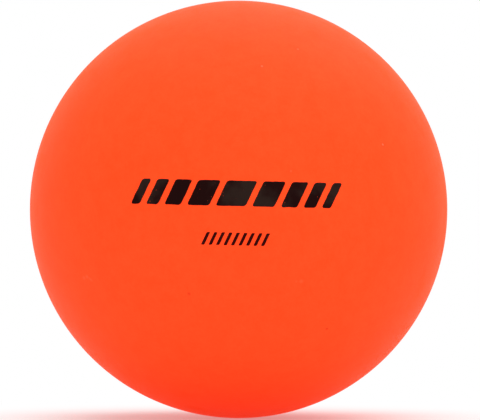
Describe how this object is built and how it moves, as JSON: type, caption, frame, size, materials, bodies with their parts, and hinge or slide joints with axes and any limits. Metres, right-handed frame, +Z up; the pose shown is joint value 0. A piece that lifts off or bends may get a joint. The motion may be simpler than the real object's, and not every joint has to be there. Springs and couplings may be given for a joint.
{
  "type": "street hockey ball",
  "caption": "Round hollow ball for street hockey: welded orange PVC half shells, a flush fill plug and a charge of liquid inside that damps the bounce.",
  "frame": {"origin": "centre of the ball", "axes": "+Z up, -Y towards the printed side that the picture shows, +Y through the fill plug; the seam lies in the plane y = 0"},
  "size_m": [0.066, 0.066, 0.066],
  "materials": {
    "ball_pvc": "satin",
    "plug_pvc": "satin",
    "damping_liquid": "gloss",
    "print_ink": "matte"
  },
  "bodies": {
    "ball": {"front_half_shell": "ball_pvc", "rear_half_shell": "ball_pvc", "fill_plug": "plug_pvc"},
    "liquid": {"damping_liquid": "damping_liquid"}
  },
  "joints": [
    {"name": "liquid_roll", "type": "hinge", "parent": "ball", "child": "liquid", "pos_m": [0, 0, 0], "axis": [0, 1, 0], "continuous": true}
  ]
}
